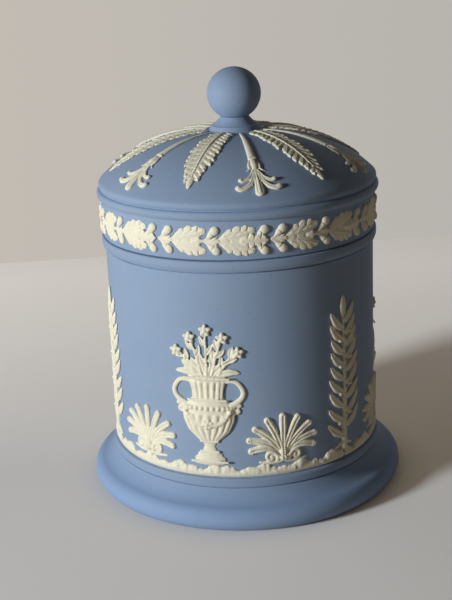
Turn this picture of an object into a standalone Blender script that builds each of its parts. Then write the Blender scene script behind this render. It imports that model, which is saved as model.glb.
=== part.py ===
"""A covered tobacco jar of matt stoneware with cream relief ornaments.

The jar, the lid and the knob are turned bodies. Every ornament is a piece of its own: it is made flat
from crowned blades, as from a mould, and then bent onto the wall or the dome. Lengths are in metres, +Z is
up and the front of the jar faces -Y. Azimuths run from the front towards +X.
"""
import math

import bmesh
import bpy
from mathutils import Vector

# Jar
WALL_RADIUS = 0.0525
WALL_THICKNESS = 0.0048
JAR_HEIGHT = 0.1025
FLOOR_THICKNESS = 0.006
FLOOR_FILLET = 0.005
RIM_BAND_HEIGHT = 0.0044
RIM_BAND_PROUD = 0.0013
RIM_ROUND = 0.0006
BASE_RADIUS = 0.0627
BASE_ROLL = 0.0048
BASE_BAND_TOP = 0.0186
BASE_BAND_HEIGHT = 0.0037
BASE_BAND_PROUD = 0.0016
BASE_HOLLOW_DEPTH = 0.0057
FOOT_RING_WIDTH = 0.007
FOOT_RECESS = 0.004

# Lid, measured up from the face that seats on the jar's rim
LID_THICKNESS = 0.0047
LID_BAND_RADIUS = 0.0531
LID_BAND_HEIGHT = 0.0143
BEAD_HEIGHT = 0.0041
BEAD_PROUD = 0.0017
SHOULDER_RADIUS = 0.0539
SHOULDER_ROLL = 0.002
DOME_EDGE_ANGLE = 46.0
DOME_TOP = 0.0379
COLLAR_FOOT_RADIUS = 0.0106
COLLAR_EDGE_RADIUS = 0.0092
COLLAR_STEP = 0.0012
COLLAR_HEIGHT = 0.0052
NECK_RADIUS = 0.0053
KNOB_RADIUS = 0.01035
KNOB_FLATNESS = 0.965
PEG_RADIUS = 0.003
PEG_LENGTH = 0.005
SPIGOT_HEIGHT = 0.009
SPIGOT_WALL = 0.003
SPIGOT_CLEARANCE = 0.0008
SEAL_HEIGHT = 0.0036
SEAL_THICKNESS = 0.0012
SEAL_DROP = 0.0028

# Gaps between touching pieces, and the slip film that holds an ornament
FIT_GAP = 0.0003
SLIP_FILM = 0.0002

# Ornaments of the dome
DOME_PAIRS = 6
DOME_FLOWER_AZIMUTH = 9.0
ORNAMENT_COLLAR_SPACE = 0.001
LEAF_EDGE_SPACE = 0.0055
LEAF_HALF_WIDTH = 0.0052
LEAF_TEETH = 7
LEAF_TOOTH_DEPTH = 0.0011
LEAF_CROWN = 0.0011
FLOWER_EDGE_SPACE = 0.0022
FLOWER_HALF_SPREAD = 0.0086
FLOWER_PETAL_LENGTH = 0.0185
FLOWER_STEM_HALF_WIDTH = 0.0011
FLOWER_CUP_HALF_WIDTH = 0.0027
FLOWER_PETAL_HALF_WIDTH = 0.0017
FLOWER_CROWN = 0.0012

# Oak garland of the lid's band
GARLAND_LENGTHS = 8
GARLAND_UNITS = 2
GARLAND_PITCH_SHARE = 0.425
GARLAND_AZIMUTH = 11.6
GARLAND_EDGE_SPACE = 0.0013
OAK_LEAF_SHARE = 0.64
OAK_LOBES = 3
OAK_LOBE_DEPTH = 0.0013
ACORN_HALF_WIDTH = 0.0019
ACORN_STEM_HALF_WIDTH = 0.0006
GARLAND_CROWN = 0.0014

# Relief of the wall
WALL_REPEATS = 3
WALL_AZIMUTH = -15.0
GROUND_HEIGHT = 0.0036
GROUND_SWELL = 0.0009
GROUND_CROWN = 0.001
GROUND_STEPS = 18
URN_HEIGHT = 0.034
URN_HALF_WIDTH = 0.01
URN_HANDLE_REACH = 0.0046
URN_HANDLE_HALF_WIDTH = 0.0009
URN_SPRAY_HEIGHT = 0.021
URN_SPRAY_SPREAD = 0.0125
URN_CROWN = 0.0019
LAUREL_HEADROOM = 0.013
LAUREL_HALF_SPREAD = 0.0098
LAUREL_LEAF_PAIRS = 4
LAUREL_LEAF_HALF_WIDTH = 0.0027
LAUREL_STEM_HALF_WIDTH = 0.0009
LAUREL_CROWN = 0.0013
PALMETTE_HEIGHT = 0.021
PALMETTE_FAN_ANGLE = 62.0
PALMETTE_FOOT = 0.16
PALMETTE_NOTCH = 0.7
PALMETTE_LOBES = 5
PALMETTE_CROWN = 0.0014

# Finishes: base colour (linear RGB) and roughness
BLUE = ((0.27, 0.39, 0.61), 0.72)
CREAM = ((0.83, 0.79, 0.66), 0.65)
SEAL_GREY = ((0.55, 0.54, 0.50), 0.5)

# Fineness of the model
TURN_STEPS = 32
KNOB_STEPS = 16
FILM_SHARE = 0.8
FLAT_ANGLE = 0.5
SHARP_ANGLE = 38.0
RIDGE_EDGE_SHARE = 0.45
DRAFT_SHARE = 0.7
SNAP = 0.00002

# Sizes worked out from those above
BORE_RADIUS = WALL_RADIUS - WALL_THICKNESS
RIM_RADIUS = WALL_RADIUS + RIM_BAND_PROUD
WALL_TOP = JAR_HEIGHT - RIM_BAND_HEIGHT - RIM_BAND_PROUD / 2
FLOOR_TOP = FOOT_RECESS + FLOOR_THICKNESS
LID_SEAT = JAR_HEIGHT + FIT_GAP
SEAL_OUTER = BORE_RADIUS - FIT_GAP
SEAL_INNER = SEAL_OUTER - SEAL_THICKNESS
SPIGOT_OUTER = BORE_RADIUS - SPIGOT_CLEARANCE
SPIGOT_INNER = SEAL_INNER - FIT_GAP - SPIGOT_WALL
COLLAR_TOP = DOME_TOP + COLLAR_HEIGHT
SHOULDER_CREASE = LID_BAND_HEIGHT + BEAD_HEIGHT
SHOULDER_HEIGHT = SHOULDER_CREASE + SHOULDER_ROLL * 0.55


def arc(centre, radius, start, end, count):
    """Profile points on an arc, from one angle in degrees to another."""
    points = []
    for step in range(count + 1):
        angle = math.radians(start + (end - start) * step / count)
        points.append((centre[0] + radius * math.cos(angle), centre[1] + radius * math.sin(angle)))
    return points


def hollow(top, foot, count):
    """Profile points of a hollow curve that leaves its top straight down and reaches its foot level."""
    points = []
    for step in range(count + 1):
        angle = math.pi / 2 * step / count
        points.append((top[0] + (foot[0] - top[0]) * (1 - math.cos(angle)),
                       top[1] - (top[1] - foot[1]) * math.sin(angle)))
    return points


class Dome:
    """The arc of the dome's profile, which meets the shoulder's roll without a corner."""

    def __init__(self):
        edge = math.radians(DOME_EDGE_ANGLE)
        outward = Vector((math.cos(edge), math.sin(edge)))
        roll_centre = Vector((SHOULDER_RADIUS - SHOULDER_ROLL, SHOULDER_HEIGHT))
        foot = roll_centre + outward * SHOULDER_ROLL
        rise = Vector((COLLAR_FOOT_RADIUS, DOME_TOP)) - foot
        self.radius = -rise.length_squared / (2 * rise.dot(outward))
        self.centre = foot - outward * self.radius
        top = Vector((COLLAR_FOOT_RADIUS, DOME_TOP)) - self.centre
        self.top_angle = math.degrees(math.atan2(top.y, top.x))
        self.length = self.radius * math.radians(self.top_angle - DOME_EDGE_ANGLE)
        self.roll_centre = roll_centre

    def at(self, distance, height):
        """Radius and height of a point that far down the dome and that high above it."""
        angle = math.radians(self.top_angle) - distance / self.radius
        reach = self.radius + height
        return self.centre.x + reach * math.cos(angle), self.centre.y + reach * math.sin(angle)

    def underside(self, radius):
        """Height of the dome's inner face at a radius."""
        inner = self.radius - LID_THICKNESS
        return self.centre.y + math.sqrt(inner ** 2 - (radius - self.centre.x) ** 2)


DOME = Dome()


def jar_profile():
    """From the middle of the floor up the bore, over the rim, down the outside and under the foot."""
    rim_foot = JAR_HEIGHT - RIM_BAND_HEIGHT
    band_radius = WALL_RADIUS + BASE_BAND_PROUD
    band_foot = BASE_BAND_TOP - BASE_BAND_HEIGHT
    roll_centre = (BASE_RADIUS - BASE_ROLL, BASE_ROLL)
    valley = (roll_centre[0] - BASE_ROLL * 0.17, band_foot - BASE_HOLLOW_DEPTH)
    foot_inner = roll_centre[0] - FOOT_RING_WIDTH
    points = [(0.0, FLOOR_TOP)]
    points += arc((BORE_RADIUS - FLOOR_FILLET, FLOOR_TOP + FLOOR_FILLET), FLOOR_FILLET, -90, 0, 2)
    points += [(BORE_RADIUS, JAR_HEIGHT - RIM_ROUND), (BORE_RADIUS + RIM_ROUND, JAR_HEIGHT)]
    points += arc((RIM_RADIUS - RIM_ROUND, JAR_HEIGHT - RIM_ROUND), RIM_ROUND, 90, 0, 2)
    points += [(RIM_RADIUS, JAR_HEIGHT - RIM_BAND_HEIGHT * 0.55)]
    points += [(RIM_RADIUS - RIM_BAND_PROUD * 0.35, rim_foot)]
    points += [(WALL_RADIUS + RIM_BAND_PROUD * 0.35, rim_foot)]
    points += [(WALL_RADIUS, WALL_TOP), (WALL_RADIUS, BASE_BAND_TOP + BASE_BAND_PROUD * 0.4)]
    points += [(band_radius - BASE_BAND_PROUD * 0.3, BASE_BAND_TOP)]
    points += [(band_radius, BASE_BAND_TOP - RIM_ROUND), (band_radius, band_foot)]
    points += hollow((band_radius - BASE_BAND_PROUD * 0.2, band_foot), valley, 4)
    points += arc(roll_centre, BASE_ROLL, 100, -72, 7)
    points += [(roll_centre[0], 0.0), (foot_inner, 0.0)]
    points += [(foot_inner - RIM_ROUND, FOOT_RECESS), (0.0, FOOT_RECESS)]
    return points


def lid_profile():
    """From the knob's socket over the dome, down the band, round the spigot and up the inside."""
    socket = PEG_RADIUS + FIT_GAP
    socket_floor = COLLAR_TOP - PEG_LENGTH - FIT_GAP
    groove_top = -SEAL_DROP
    groove_foot = groove_top - SEAL_HEIGHT - 2 * FIT_GAP
    groove_radius = SEAL_INNER - FIT_GAP
    bead_radius = LID_BAND_RADIUS + BEAD_PROUD
    hollow_radius = LID_BAND_RADIUS - LID_THICKNESS
    points = [(0.0, socket_floor), (socket, socket_floor), (socket, COLLAR_TOP)]
    points += [(NECK_RADIUS, COLLAR_TOP), (COLLAR_EDGE_RADIUS, DOME_TOP + COLLAR_STEP)]
    points += [(COLLAR_FOOT_RADIUS, DOME_TOP)]
    points += [DOME.at(DOME.length * step / 7, 0.0) for step in range(1, 7)]
    points += arc(DOME.roll_centre, SHOULDER_ROLL, DOME_EDGE_ANGLE, -30, 3)
    points += [(bead_radius - BEAD_PROUD * 0.3, SHOULDER_CREASE - BEAD_HEIGHT * 0.08)]
    points += [(bead_radius, SHOULDER_CREASE - BEAD_HEIGHT * 0.3)]
    points += [(bead_radius - BEAD_PROUD * 0.1, SHOULDER_CREASE - BEAD_HEIGHT * 0.6)]
    points += [(LID_BAND_RADIUS + BEAD_PROUD * 0.4, LID_BAND_HEIGHT)]
    points += [(LID_BAND_RADIUS, LID_BAND_HEIGHT - RIM_ROUND)]
    points += [(LID_BAND_RADIUS, RIM_ROUND), (LID_BAND_RADIUS - RIM_ROUND, 0.0)]
    points += [(SPIGOT_OUTER, 0.0), (SPIGOT_OUTER, groove_top), (groove_radius, groove_top)]
    points += [(groove_radius, groove_foot), (SPIGOT_OUTER, groove_foot)]
    points += [(SPIGOT_OUTER, RIM_ROUND - SPIGOT_HEIGHT), (SPIGOT_OUTER - RIM_ROUND, -SPIGOT_HEIGHT)]
    points += [(SPIGOT_INNER, -SPIGOT_HEIGHT), (SPIGOT_INNER, LID_THICKNESS)]
    points += [(hollow_radius, 2 * LID_THICKNESS)]
    for share in (1.0, 0.8, 0.45):
        radius = DOME.centre.x + (hollow_radius - DOME.centre.x) * share
        points.append((radius, DOME.underside(radius)))
    points += [(DOME.centre.x, DOME.underside(DOME.centre.x)), (0.0, DOME.underside(DOME.centre.x))]
    return points


def knob_profile():
    """The ball, a little flattened, its flat where it meets the collar, and the peg that locates it."""
    neck_angle = -math.degrees(math.acos(NECK_RADIUS / KNOB_RADIUS))
    seat = COLLAR_TOP + FIT_GAP
    centre = math.sqrt(KNOB_RADIUS ** 2 - NECK_RADIUS ** 2)
    ball = arc((0.0, centre), KNOB_RADIUS, 90, neck_angle, 11)
    ball[0] = (0.0, centre + KNOB_RADIUS)
    points = [(radius, seat + rise * KNOB_FLATNESS) for radius, rise in ball]
    points += [(PEG_RADIUS, seat), (PEG_RADIUS, seat - PEG_LENGTH), (0.0, seat - PEG_LENGTH)]
    return points


def seal_profile():
    """A flat soft ring with rounded edges, closed on itself."""
    top = -SEAL_DROP - FIT_GAP
    foot = top - SEAL_HEIGHT
    edge = SEAL_THICKNESS * 0.3
    points = [(SEAL_INNER, top), (SEAL_OUTER - edge, top), (SEAL_OUTER, top - edge)]
    points += [(SEAL_OUTER, foot + edge), (SEAL_OUTER - edge, foot), (SEAL_INNER, foot), (SEAL_INNER, top)]
    return points


def material(name, finish):
    """A plain matt material of one colour."""
    colour, roughness = finish
    made = bpy.data.materials.new(name)
    made.use_nodes = True
    shader = made.node_tree.nodes["Principled BSDF"]
    shader.inputs["Base Color"].default_value = (*colour, 1.0)
    shader.inputs["Roughness"].default_value = roughness
    shader.inputs["Metallic"].default_value = 0.0
    return made


def evaluated_mesh(source):
    """The mesh that an object has after its modifiers."""
    depsgraph = bpy.context.evaluated_depsgraph_get()
    return bpy.data.meshes.new_from_object(source.evaluated_get(depsgraph))


def place(name, mesh, finish, parent=None, azimuth=0.0):
    """Adds a finished part, turned about the jar's axis."""
    mesh.materials.clear()
    mesh.materials.append(finish)
    mesh.shade_smooth()
    mesh.set_sharp_from_angle(angle=math.radians(SHARP_ANGLE))
    part = bpy.data.objects.new(name, mesh)
    part.parent = parent
    part.rotation_euler.z = math.radians(azimuth)
    parts.objects.link(part)
    return part


def turned(profile, steps):
    """A turned mesh from a profile of radius and height."""
    line = bpy.data.meshes.new("profile")
    edges = [(index, index + 1) for index in range(len(profile) - 1)]
    line.from_pydata([(radius, 0.0, height) for radius, height in profile], edges, [])
    holder = bpy.data.objects.new("profile", line)
    cutters.objects.link(holder)
    screw = holder.modifiers.new("turn", "SCREW")
    screw.axis = "Z"
    screw.steps = steps
    screw.render_steps = steps
    screw.use_merge_vertices = True
    screw.merge_threshold = SNAP
    mesh = evaluated_mesh(holder)
    bpy.data.objects.remove(holder)
    work = bmesh.new()
    work.from_mesh(mesh)
    bmesh.ops.remove_doubles(work, verts=work.verts, dist=SNAP / 2)
    work.to_mesh(mesh)
    work.free()
    return mesh


def straight(start, end):
    """A straight spine between two flat points."""
    return lambda along: Vector(start).lerp(Vector(end), along)


def bow(start, middle, end):
    """A curved spine from start to end that is drawn towards its middle point."""
    def point(along):
        left = Vector(start).lerp(Vector(middle), along)
        right = Vector(middle).lerp(Vector(end), along)
        return left.lerp(right, along)
    return point


def swell(*widths):
    """Half-widths at equal steps along a spine, joined by straight lines."""
    def width(along):
        reach = along * (len(widths) - 1)
        step = min(int(reach), len(widths) - 2)
        return widths[step] + (widths[step + 1] - widths[step]) * (reach - step)
    return width


def slab(columns, rows):
    """A closed flat slab of unit size, with its top vertices."""
    work = bmesh.new()
    bmesh.ops.create_grid(work, x_segments=columns, y_segments=rows, size=0.5)
    lifted = bmesh.ops.extrude_face_region(work, geom=work.faces[:])["geom"]
    return work, {item for item in lifted if isinstance(item, bmesh.types.BMVert)}


def blade(spine, half_width, crown, rows, ridged=False):
    """One closed blade along a flat spine: its edges have a mould's draft, or it rises to a ridge."""
    work, top = slab(2 if ridged else 1, rows)
    edge_crown = crown * RIDGE_EDGE_SHARE if ridged else crown
    draft = 1.0 if ridged else DRAFT_SHARE
    for vert in work.verts:
        side, along = 2 * vert.co.x, vert.co.y + 0.5
        heading = (spine(min(along + 0.01, 1.0)) - spine(max(along - 0.01, 0.0))).normalized()
        across = Vector((heading.y, -heading.x))
        reach = side * half_width(along) * (draft if vert in top else 1.0)
        point = spine(along) + across * reach
        height = crown + (edge_crown - crown) * abs(side)
        vert.co = (point.x, point.y, height if vert in top else 0.0)
    bmesh.ops.recalc_face_normals(work, faces=work.faces)
    return work


def blades_object(name, blades):
    """A guide object that holds some blades, still separate from one another."""
    mesh = bpy.data.meshes.new(name)
    gathered = bmesh.new()
    for work in blades:
        single = bpy.data.meshes.new("blade")
        work.to_mesh(single)
        work.free()
        gathered.from_mesh(single)
        bpy.data.meshes.remove(single)
    gathered.to_mesh(mesh)
    gathered.free()
    guide = bpy.data.objects.new(name, mesh)
    guide.hide_render = True
    guide.display_type = "WIRE"
    cutters.objects.link(guide)
    return guide


def fused(blades):
    """One closed flat mesh from blades that overlap."""
    first = blades_object("first_blade", blades[:1])
    union = first.modifiers.new("union", "BOOLEAN")
    union.operation = "UNION"
    union.solver = "EXACT"
    union.use_self = True
    union.object = blades_object("other_blades", blades[1:])
    mesh = evaluated_mesh(first)
    for guide in list(cutters.objects):
        bpy.data.objects.remove(guide)
    work = bmesh.new()
    work.from_mesh(mesh)
    bpy.data.meshes.remove(mesh)
    bmesh.ops.remove_doubles(work, verts=work.verts, dist=SNAP)
    return work


def in_strips(work, radius):
    """A flat shape with its level faces merged, then cut into strips narrow enough to bend to a radius."""
    bmesh.ops.dissolve_limit(work, angle_limit=math.radians(FLAT_ANGLE), verts=work.verts, edges=work.edges)
    bmesh.ops.triangulate(work, faces=work.faces[:])
    strip = math.sqrt(8 * radius * SLIP_FILM * FILM_SHARE)
    low = min(vert.co.x for vert in work.verts)
    high = max(vert.co.x for vert in work.verts)
    for index in range(math.ceil(low / strip), math.floor(high / strip) + 1):
        everything = work.verts[:] + work.edges[:] + work.faces[:]
        bmesh.ops.bisect_plane(work, geom=everything, dist=SNAP, plane_co=(index * strip, 0, 0),
                               plane_no=(1, 0, 0))
    bmesh.ops.remove_doubles(work, verts=work.verts, dist=SNAP / 2)
    return work


def bent(work, onto):
    """A flat shape carried onto a surface."""
    bmesh.ops.triangulate(work, faces=work.faces[:])
    for vert in work.verts:
        vert.co = onto(vert.co)
    mesh = bpy.data.meshes.new("ornament")
    work.to_mesh(mesh)
    work.free()
    return mesh


def onto_cylinder(radius, foot):
    """Carries flat points (across, up, out) onto an upright wall, about the front."""
    def carry(point):
        angle = point.x / radius
        reach = radius + SLIP_FILM + point.z
        return Vector((reach * math.sin(angle), -reach * math.cos(angle), foot + point.y))
    return carry


def onto_dome(point):
    """Carries flat points (leftwards, down the dome, out) onto the dome, about the front."""
    angle = -point.x / DOME.at(point.y, 0.0)[0]
    reach, height = DOME.at(point.y, SLIP_FILM + point.z)
    return Vector((reach * math.sin(angle), -reach * math.cos(angle), height))


def dome_leaf():
    """A long leaf with a crowned rib and toothed edges, tip down."""
    start = ORNAMENT_COLLAR_SPACE
    end = DOME.length - LEAF_EDGE_SPACE
    rows = 2 * LEAF_TEETH

    def half_width(along):
        outline = math.sin(math.pi * (0.06 + 0.9 * along ** 1.15)) ** 0.8
        tooth = LEAF_TOOTH_DEPTH if round(along * rows) % 2 else 0.0
        return max(LEAF_HALF_WIDTH * outline - tooth * outline, LEAF_TOOTH_DEPTH * 0.4)
    return blade(straight((0, start), (0, end)), half_width, LEAF_CROWN, rows, ridged=True)


def dome_flower():
    """A stem that thickens to a cup, with five petals that curl outwards."""
    start = ORNAMENT_COLLAR_SPACE
    tip = DOME.length - FLOWER_EDGE_SPACE
    cup = tip - FLOWER_PETAL_LENGTH
    stem = FLOWER_STEM_HALF_WIDTH
    petal = FLOWER_PETAL_HALF_WIDTH
    spread = FLOWER_HALF_SPREAD
    middle = swell(stem, stem * 1.1, stem * 1.5, FLOWER_CUP_HALF_WIDTH, stem, petal * 1.1, petal * 0.7)
    blades = [blade(straight((0, start), (0, tip)), middle, FLOWER_CROWN, 6)]
    for side in (-1, 1):
        for reach, drop in ((spread * 0.84, 0.5), (spread, 0.74)):
            end = (side * reach, cup + FLOWER_PETAL_LENGTH * drop)
            elbow = (side * reach * 0.3, end[1] + FLOWER_PETAL_LENGTH * 0.12)
            blades.append(blade(bow((side * stem, cup - petal * 0.3), elbow, end),
                                swell(stem * 0.8, petal, petal * 0.6), FLOWER_CROWN, 2))
    return fused(blades)


def oak_garland():
    """One length of the garland: pairs of acorns and lobed oak leaves in turn, with acorns at both ends."""
    length = 2 * math.pi * LID_BAND_RADIUS / GARLAND_LENGTHS - FIT_GAP
    pitch = length * GARLAND_PITCH_SHARE
    half_height = LID_BAND_HEIGHT / 2 - GARLAND_EDGE_SPACE
    rows = 2 * OAK_LOBES
    stem = ACORN_STEM_HALF_WIDTH

    def lobed(along):
        outline = half_height * math.sin(math.pi * (0.08 + 0.84 * along)) ** 0.7
        return max(outline - (OAK_LOBE_DEPTH if round(along * rows) % 2 == 0 else 0.0), 1.5 * stem)
    blades = [blade(straight((-length / 2, 0), (length / 2, 0)), swell(stem, stem), GARLAND_CROWN * 0.8, 1)]
    nodes = [unit * pitch - length / 2 for unit in range(GARLAND_UNITS + 1)]
    for node in nodes[:-1]:
        leaf_end = node + pitch * 0.97
        leaf_root = leaf_end - pitch * OAK_LEAF_SHARE
        blades.append(blade(straight((leaf_root, 0), (leaf_end, 0)), lobed, GARLAND_CROWN, rows, ridged=True))
    for node in nodes:
        for side in (-1, 1):
            acorn_end = (node + pitch * 0.3, side * half_height)
            acorn_bend = (node + pitch * 0.16, side * half_height * 0.3)
            acorn_width = swell(stem, ACORN_HALF_WIDTH, ACORN_HALF_WIDTH * 0.5)
            blades.append(blade(bow((node + 2 * stem, side * stem * 0.5), acorn_bend, acorn_end),
                                acorn_width, GARLAND_CROWN * 1.2, 2))
    return fused(blades)


def ground_strip():
    """One length of the low uneven strip that the wall's ornaments stand on."""
    span = 2 * math.pi * WALL_RADIUS / WALL_REPEATS - FIT_GAP
    work, top = slab(GROUND_STEPS, 1)
    for vert in work.verts:
        turn = 2 * math.pi * vert.co.x
        crest = GROUND_HEIGHT + GROUND_SWELL * (0.6 * math.sin(4 * turn) + 0.4 * math.sin(7 * turn + 1))
        height = crest if vert.co.y > 0 else 0.0
        vert.co = (span * vert.co.x, height, GROUND_CROWN if vert in top else 0.0)
    bmesh.ops.recalc_face_normals(work, faces=work.faces)
    return work


def urn():
    """A two-handled urn on a foot, with a spray of leaves."""
    wide = URN_HALF_WIDTH
    outline = swell(wide * 0.62, wide * 0.6, wide * 0.26, wide * 0.3, wide * 0.78, wide * 0.98, wide,
                    wide * 0.88, wide * 0.6, wide * 0.56, wide * 0.8)
    blades = [blade(straight((0, 0), (0, URN_HEIGHT)), outline, URN_CROWN, 10, ridged=True)]
    for side in (-1, 1):
        shoulder = (side * wide * 0.8, URN_HEIGHT * 0.55)
        neck = (side * wide * 0.5, URN_HEIGHT * 0.93)
        elbow = (side * (wide + 2 * URN_HANDLE_REACH), URN_HEIGHT * 0.9)
        blades.append(blade(bow(shoulder, elbow, neck), swell(URN_HANDLE_HALF_WIDTH, URN_HANDLE_HALF_WIDTH),
                            URN_CROWN * 0.7, 4))
    for reach, rise in ((-1, 0.62), (0, 1), (1, 0.62)):
        end = (URN_SPRAY_SPREAD * reach, URN_HEIGHT + URN_SPRAY_HEIGHT * rise)
        bend_at = (URN_SPRAY_SPREAD * reach * 0.25, URN_HEIGHT + URN_SPRAY_HEIGHT * 0.5)
        blades.append(blade(bow((wide * 0.3 * reach, URN_HEIGHT * 0.94), bend_at, end),
                            swell(wide * 0.14, wide * 0.34, wide * 0.08), URN_CROWN * 0.75, 2))
    return fused(blades)


def laurel():
    """An upright laurel branch with leaves in pairs, which reaches up to the headroom under the rim."""
    height = WALL_TOP - LAUREL_HEADROOM - BASE_BAND_TOP - GROUND_HEIGHT - GROUND_SWELL
    stem = LAUREL_STEM_HALF_WIDTH
    leaf = LAUREL_LEAF_HALF_WIDTH
    pitch = height / (LAUREL_LEAF_PAIRS + 1.2)
    trunk = swell(stem * 1.6, stem, stem, stem, stem, leaf, stem * 0.5)
    blades = [blade(straight((0, 0), (0, height)), trunk, LAUREL_CROWN, 6)]
    for pair in range(LAUREL_LEAF_PAIRS):
        for side in (-1, 1):
            foot = (side * stem * 0.3, pitch * (pair + 0.35 + 0.2 * side))
            end = (side * LAUREL_HALF_SPREAD * (1 - 0.07 * pair), foot[1] + pitch * 0.95)
            bend_at = (side * LAUREL_HALF_SPREAD * 0.6, foot[1] + pitch * 0.2)
            blades.append(blade(bow(foot, bend_at, end), swell(stem * 0.6, leaf, stem * 0.3), LAUREL_CROWN,
                                2, ridged=True))
    return fused(blades)


def palmette():
    """A low fan of lobes that rises from one foot, each lobe with its own ridge."""
    work, top = slab(2 * PALMETTE_LOBES, 2)
    for vert in work.verts:
        lean, along = 2 * vert.co.x, vert.co.y + 0.5
        ridge = round((lean + 1) * PALMETTE_LOBES) % 2
        reach = PALMETTE_FOOT + (1 - PALMETTE_FOOT) * along * (1.0 if ridge else PALMETTE_NOTCH)
        angle = math.radians(PALMETTE_FAN_ANGLE) * lean
        rise = PALMETTE_HEIGHT * reach * (1 - 0.3 * lean ** 2)
        height = PALMETTE_CROWN * (1.0 if ridge else RIDGE_EDGE_SHARE)
        point = (rise * math.sin(angle), rise * math.cos(angle))
        vert.co = (*point, height if vert in top else 0.0)
    bmesh.ops.recalc_face_normals(work, faces=work.faces)
    return work


def lid_axis():
    """The empty on the lid's axis, at the seat, that carries the lid's pieces."""
    axis = bpy.data.objects.new("lid_axis", None)
    axis.location.z = LID_SEAT
    parts.objects.link(axis)
    return axis


def build():
    """Makes every piece of the jar."""
    axis = lid_axis()
    blue_jar = material("jar_blue", BLUE)
    blue_lid = material("lid_blue", BLUE)
    blue_knob = material("knob_blue", BLUE)
    cream_wall = material("wall_relief_cream", CREAM)
    cream_lid = material("lid_relief_cream", CREAM)
    seal_grey = material("seal_grey", SEAL_GREY)
    place("jar_body", turned(jar_profile(), TURN_STEPS), blue_jar)
    place("lid_shell", turned(lid_profile(), TURN_STEPS), blue_lid, axis)
    place("knob_ball", turned(knob_profile(), KNOB_STEPS), blue_knob, axis)
    place("seal_ring", turned(seal_profile(), TURN_STEPS), seal_grey, axis)

    leaf_mesh = bent(dome_leaf(), onto_dome)
    flower_mesh = bent(dome_flower(), onto_dome)
    for pair in range(DOME_PAIRS):
        flower_azimuth = DOME_FLOWER_AZIMUTH + 360 / DOME_PAIRS * pair
        place(f"dome_flower_{pair + 1}", flower_mesh, cream_lid, axis, flower_azimuth)
        place(f"dome_leaf_{pair + 1}", leaf_mesh, cream_lid, axis, flower_azimuth + 180 / DOME_PAIRS)

    onto_band = onto_cylinder(LID_BAND_RADIUS, LID_BAND_HEIGHT / 2)
    garland_mesh = bent(in_strips(oak_garland(), LID_BAND_RADIUS), onto_band)
    for length in range(GARLAND_LENGTHS):
        azimuth = GARLAND_AZIMUTH + 360 / GARLAND_LENGTHS * (length + 0.5)
        place(f"oak_garland_{length + 1}", garland_mesh, cream_lid, axis, azimuth)

    ground_foot = BASE_BAND_TOP + BASE_BAND_PROUD * 0.4 + SLIP_FILM
    motif_foot = ground_foot + GROUND_HEIGHT + GROUND_SWELL + SLIP_FILM
    ground_mesh = bent(ground_strip(), onto_cylinder(WALL_RADIUS, ground_foot))
    onto_wall = onto_cylinder(WALL_RADIUS, motif_foot)
    urn_mesh = bent(in_strips(urn(), WALL_RADIUS), onto_wall)
    laurel_mesh = bent(laurel(), onto_wall)
    palmette_mesh = bent(palmette(), onto_wall)
    quarter = 90 / WALL_REPEATS
    for repeat in range(WALL_REPEATS):
        azimuth = WALL_AZIMUTH + 360 / WALL_REPEATS * repeat
        place(f"ground_strip_{repeat + 1}", ground_mesh, cream_wall, None, azimuth)
        place(f"urn_{repeat + 1}", urn_mesh, cream_wall, None, azimuth)
        place(f"laurel_{repeat + 1}", laurel_mesh, cream_wall, None, azimuth + 2 * quarter)
        place(f"palmette_{2 * repeat + 1}", palmette_mesh, cream_wall, None, azimuth + quarter)
        place(f"palmette_{2 * repeat + 2}", palmette_mesh, cream_wall, None, azimuth + 3 * quarter)


for old in list(bpy.data.objects):
    bpy.data.objects.remove(old)
parts = bpy.data.collections.new("tobacco_jar")
cutters = bpy.data.collections.new("cutters")
for collection in (parts, cutters):
    bpy.context.scene.collection.children.link(collection)
build()
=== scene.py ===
"""The looks of a covered tobacco jar: turned blue stoneware with cream reliefs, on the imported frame.

A relief is modelled flat, in millimetres, from lumps and rolls of clay that are fused into one mass, as in
a mould. It is then bent onto the wall, the lid's band or the dome. Turned pieces are profiles of radius and
height, also in millimetres. Finished meshes are in metres. Azimuths run from the front of the jar, which
faces -Y, towards +X.
"""

import math
import random

import bmesh
import bpy
import numpy as np
from mathutils import Matrix, Vector


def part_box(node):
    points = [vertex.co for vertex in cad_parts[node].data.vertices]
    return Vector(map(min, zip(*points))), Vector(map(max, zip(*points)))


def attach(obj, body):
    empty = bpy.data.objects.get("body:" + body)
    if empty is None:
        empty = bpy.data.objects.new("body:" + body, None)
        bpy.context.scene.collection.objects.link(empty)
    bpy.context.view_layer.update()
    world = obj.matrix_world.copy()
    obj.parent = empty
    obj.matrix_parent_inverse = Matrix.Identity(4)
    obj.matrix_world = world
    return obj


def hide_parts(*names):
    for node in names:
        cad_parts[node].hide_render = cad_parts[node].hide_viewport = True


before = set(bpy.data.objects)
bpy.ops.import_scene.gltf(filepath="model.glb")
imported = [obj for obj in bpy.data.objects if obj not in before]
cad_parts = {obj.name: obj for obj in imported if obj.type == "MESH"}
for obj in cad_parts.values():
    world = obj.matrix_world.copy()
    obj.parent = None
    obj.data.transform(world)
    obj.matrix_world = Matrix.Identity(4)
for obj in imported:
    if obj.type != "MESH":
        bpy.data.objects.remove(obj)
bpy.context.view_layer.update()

MM = 0.001

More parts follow.
